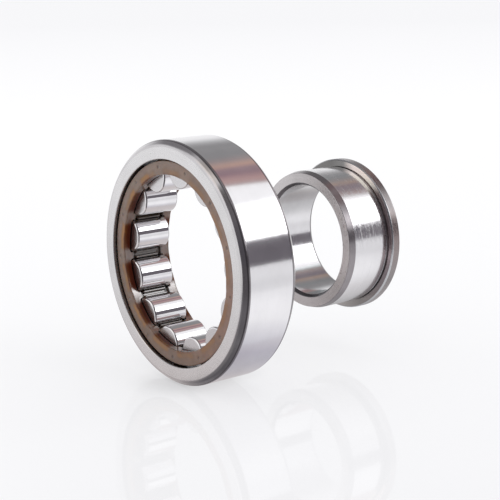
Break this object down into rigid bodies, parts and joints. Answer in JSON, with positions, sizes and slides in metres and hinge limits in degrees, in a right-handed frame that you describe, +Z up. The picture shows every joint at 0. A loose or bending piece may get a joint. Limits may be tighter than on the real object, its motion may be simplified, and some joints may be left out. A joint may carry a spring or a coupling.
{
  "type": "cylindrical roller bearing",
  "caption": "Separable cylindrical roller bearing: a flanged outer ring holds a window cage of short rollers, and an inner ring with a flange at its far end stands pulled out along the axis.",
  "frame": {"origin": "on the bearing axis, halfway between the front face of the outer ring and the flange end of the pulled-out inner ring, which is the centre of the bounding box; the centre of the outer ring is 22 mm from it towards -Y", "axes": "+Y along the bearing axis, the way the inner ring comes out; +Z up; the outer ring stands on z = -31 mm"},
  "size_m": [0.062, 0.06, 0.062],
  "materials": {
    "ring_steel": "finely ground, bright",
    "roller_steel": "superfinished, mirror bright",
    "cage_polyamide": "moulded, semi-matt, slightly translucent brown"
  },
  "bodies": {
    "outer_ring": {"outer_ring": "ring_steel"},
    "inner_ring": {"inner_ring": "ring_steel"},
    "cage": {"cage": "cage_polyamide"},
    "roller_01": {"roller_01": "roller_steel"},
    "roller_02": {"roller_02": "roller_steel"},
    "roller_03": {"roller_03": "roller_steel"},
    "roller_04": {"roller_04": "roller_steel"},
    "roller_05": {"roller_05": "roller_steel"},
    "roller_06": {"roller_06": "roller_steel"},
    "roller_07": {"roller_07": "roller_steel"},
    "roller_08": {"roller_08": "roller_steel"},
    "roller_09": {"roller_09": "roller_steel"},
    "roller_10": {"roller_10": "roller_steel"},
    "roller_11": {"roller_11": "roller_steel"},
    "roller_12": {"roller_12": "roller_steel"},
    "roller_13": {"roller_13": "roller_steel"}
  },
  "joints": [
    {"name": "inner_ring_slide", "type": "slide", "parent": "outer_ring", "child": "inner_ring", "axis": [0, 1, 0], "range_m": [-0.044, 0]},
    {"name": "cage_spin", "type": "hinge", "parent": "outer_ring", "child": "cage", "pos_m": [0, -0.022, 0], "axis": [0, 1, 0], "continuous": true},
    {"name": "roller_01_spin", "type": "hinge", "parent": "cage", "child": "roller_01", "pos_m": [0.00081, -0.022, 0.02324], "axis": [0, 1, 0], "continuous": true},
    {"name": "roller_02_spin", "type": "hinge", "parent": "cage", "child": "roller_02", "pos_m": [0.01152, -0.022, 0.0202], "axis": [0, 1, 0], "continuous": true},
    {"name": "roller_03_spin", "type": "hinge", "parent": "cage", "child": "roller_03", "pos_m": [0.01958, -0.022, 0.01253], "axis": [0, 1, 0], "continuous": true},
    {"name": "roller_04_spin", "type": "hinge", "parent": "cage", "child": "roller_04", "pos_m": [0.02316, -0.022, 0.002], "axis": [0, 1, 0], "continuous": true},
    {"name": "roller_05_spin", "type": "hinge", "parent": "cage", "child": "roller_05", "pos_m": [0.02144, -0.022, -0.009], "axis": [0, 1, 0], "continuous": true},
    {"name": "roller_06_spin", "type": "hinge", "parent": "cage", "child": "roller_06", "pos_m": [0.0148, -0.022, -0.01793], "axis": [0, 1, 0], "continuous": true},
    {"name": "roller_07_spin", "type": "hinge", "parent": "cage", "child": "roller_07", "pos_m": [0.00477, -0.022, -0.02275], "axis": [0, 1, 0], "continuous": true},
    {"name": "roller_08_spin", "type": "hinge", "parent": "cage", "child": "roller_08", "pos_m": [-0.00635, -0.022, -0.02237], "axis": [0, 1, 0], "continuous": true},
    {"name": "roller_09_spin", "type": "hinge", "parent": "cage", "child": "roller_09", "pos_m": [-0.01602, -0.022, -0.01685], "axis": [0, 1, 0], "continuous": true},
    {"name": "roller_10_spin", "type": "hinge", "parent": "cage", "child": "roller_10", "pos_m": [-0.02201, -0.022, -0.00748], "axis": [0, 1, 0], "continuous": true},
    {"name": "roller_11_spin", "type": "hinge", "parent": "cage", "child": "roller_11", "pos_m": [-0.02297, -0.022, 0.00361], "axis": [0, 1, 0], "continuous": true},
    {"name": "roller_12_spin", "type": "hinge", "parent": "cage", "child": "roller_12", "pos_m": [-0.01866, -0.022, 0.01387], "axis": [0, 1, 0], "continuous": true},
    {"name": "roller_13_spin", "type": "hinge", "parent": "cage", "child": "roller_13", "pos_m": [-0.01008, -0.022, 0.02095], "axis": [0, 1, 0], "continuous": true}
  ],
  "couplings": [
    {"joint": "roller_01_spin", "follows": "cage_spin", "ratio": -6.1667},
    {"joint": "roller_02_spin", "follows": "cage_spin", "ratio": -6.1667},
    {"joint": "roller_03_spin", "follows": "cage_spin", "ratio": -6.1667},
    {"joint": "roller_04_spin", "follows": "cage_spin", "ratio": -6.1667},
    {"joint": "roller_05_spin", "follows": "cage_spin", "ratio": -6.1667},
    {"joint": "roller_06_spin", "follows": "cage_spin", "ratio": -6.1667},
    {"joint": "roller_07_spin", "follows": "cage_spin", "ratio": -6.1667},
    {"joint": "roller_08_spin", "follows": "cage_spin", "ratio": -6.1667},
    {"joint": "roller_09_spin", "follows": "cage_spin", "ratio": -6.1667},
    {"joint": "roller_10_spin", "follows": "cage_spin", "ratio": -6.1667},
    {"joint": "roller_11_spin", "follows": "cage_spin", "ratio": -6.1667},
    {"joint": "roller_12_spin", "follows": "cage_spin", "ratio": -6.1667},
    {"joint": "roller_13_spin", "follows": "cage_spin", "ratio": -6.1667}
  ]
}
